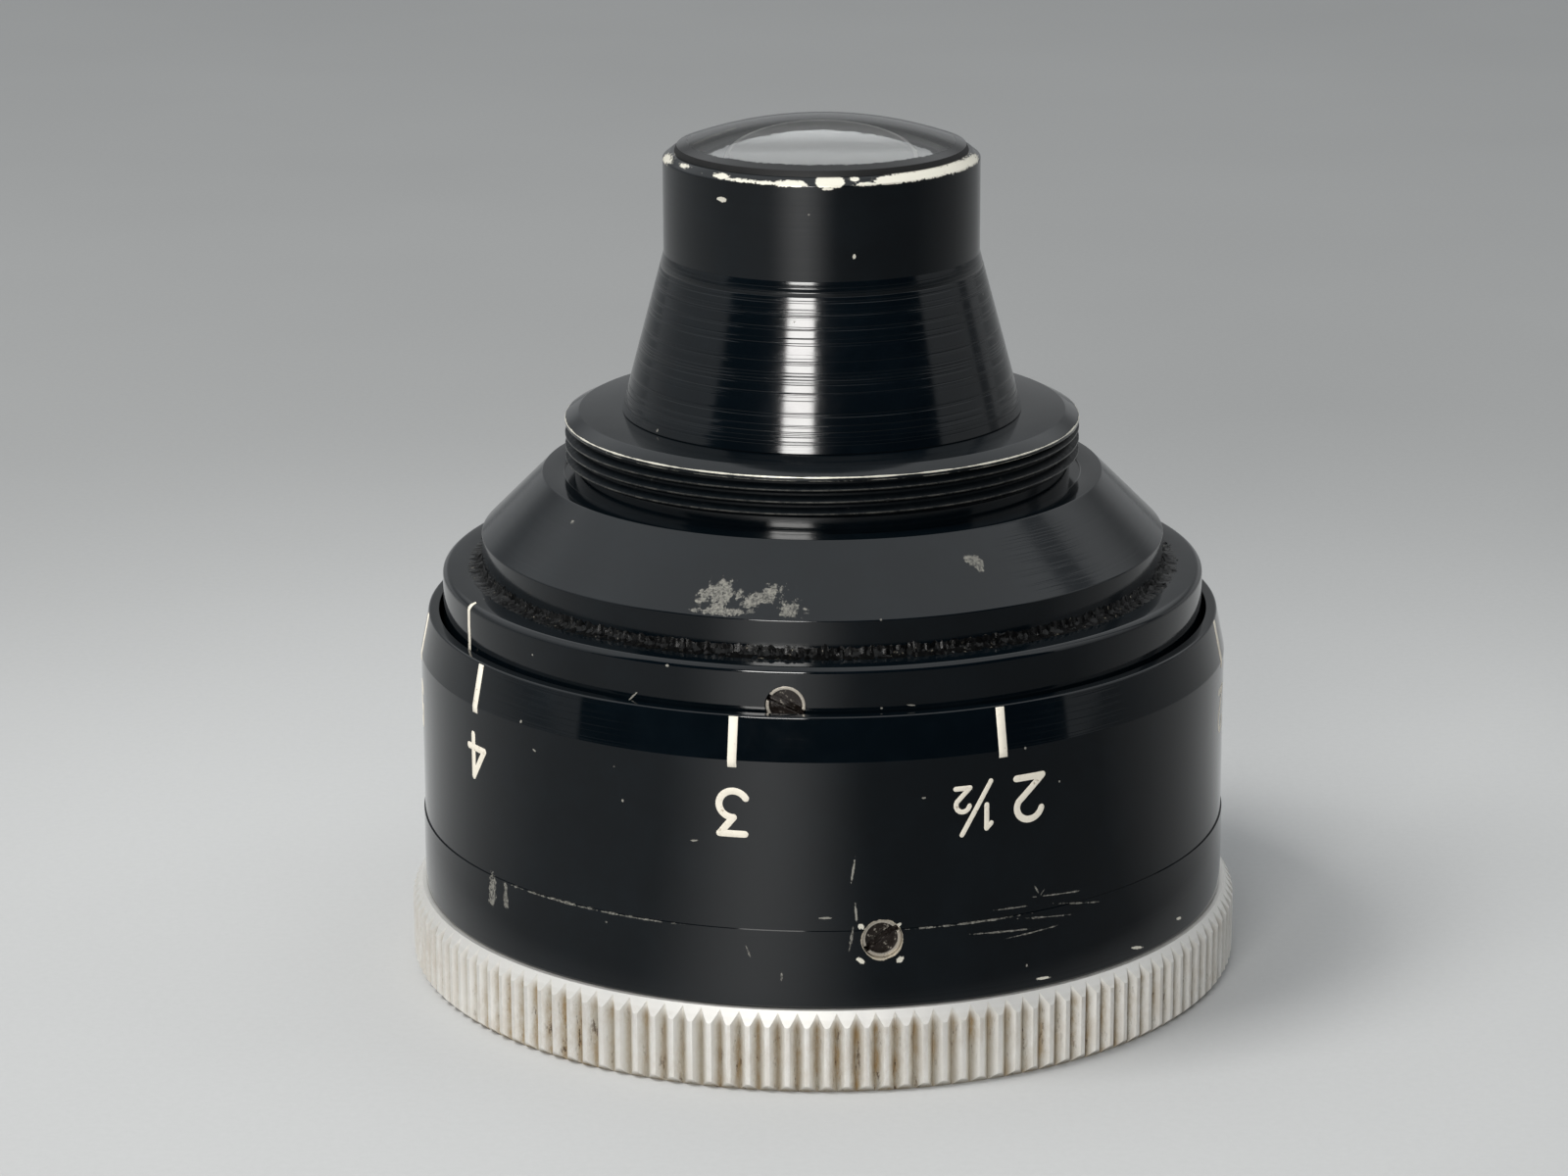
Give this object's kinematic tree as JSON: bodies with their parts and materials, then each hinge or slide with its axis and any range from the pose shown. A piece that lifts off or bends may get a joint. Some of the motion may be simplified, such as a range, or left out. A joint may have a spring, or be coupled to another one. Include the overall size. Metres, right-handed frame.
{
  "type": "wide angle converter lens",
  "caption": "Wide angle converter lens with a knurled metal grip ring, black focusing sleeve with a distance scale, threaded rear mount and tapered nose tube with a domed rear glass.",
  "frame": {"origin": "on the optical axis, in the plane of the grip ring's front edge, which the part stands on", "axes": "+Z along the optical axis from the front (scene side, down) to the rear (nose tube, up); -Y is the side with the focus mark in use"},
  "size_m": [0.036, 0.036, 0.0368],
  "materials": {
    "black_lacquer": "gloss black lacquer on turned aluminium",
    "plated_grip": "bright nickel plate, stained in the knurl",
    "blackened_metal": "matt anti-reflection black",
    "steel_screw": "plain turned steel",
    "helicoid_brass": "greased turned brass",
    "optical_glass": "polished and coated"
  },
  "bodies": {
    "rear_body": {"mount_body": "black_lacquer", "guide_screws": "steel_screw", "index_ring": "black_lacquer", "index_ring_screws": "steel_screw", "stop_pin": "steel_screw", "nose_tube": "black_lacquer", "rear_lens_crown": "optical_glass", "rear_lens_flint": "optical_glass", "light_stop": "blackened_metal", "light_stop_ring": "blackened_metal"},
    "front_group": {"front_cell": "blackened_metal", "front_lens_meniscus": "optical_glass", "front_retaining_ring": "blackened_metal", "front_lens_biconcave": "optical_glass", "front_lens_positive": "optical_glass", "pair_retaining_ring": "blackened_metal"},
    "focus_group": {"grip_ring": "plated_grip", "focus_sleeve": "black_lacquer", "helicoid_nut": "helicoid_brass", "sleeve_screws": "steel_screw", "thrust_washer": "helicoid_brass"}
  },
  "joints": [
    {"name": "focus_travel", "type": "slide", "parent": "rear_body", "child": "front_group", "axis": [0, 0, 1], "range_m": [-0.00096, 0.00085]},
    {"name": "focus_turn", "type": "hinge", "parent": "front_group", "child": "focus_group", "pos_m": [0, 0, 0], "axis": [0, 0, 1], "range_deg": [-143.6, 126.4]}
  ],
  "couplings": [
    {"joint": "focus_travel", "follows": "focus_turn", "m_per_rad": 0.00038197}
  ]
}
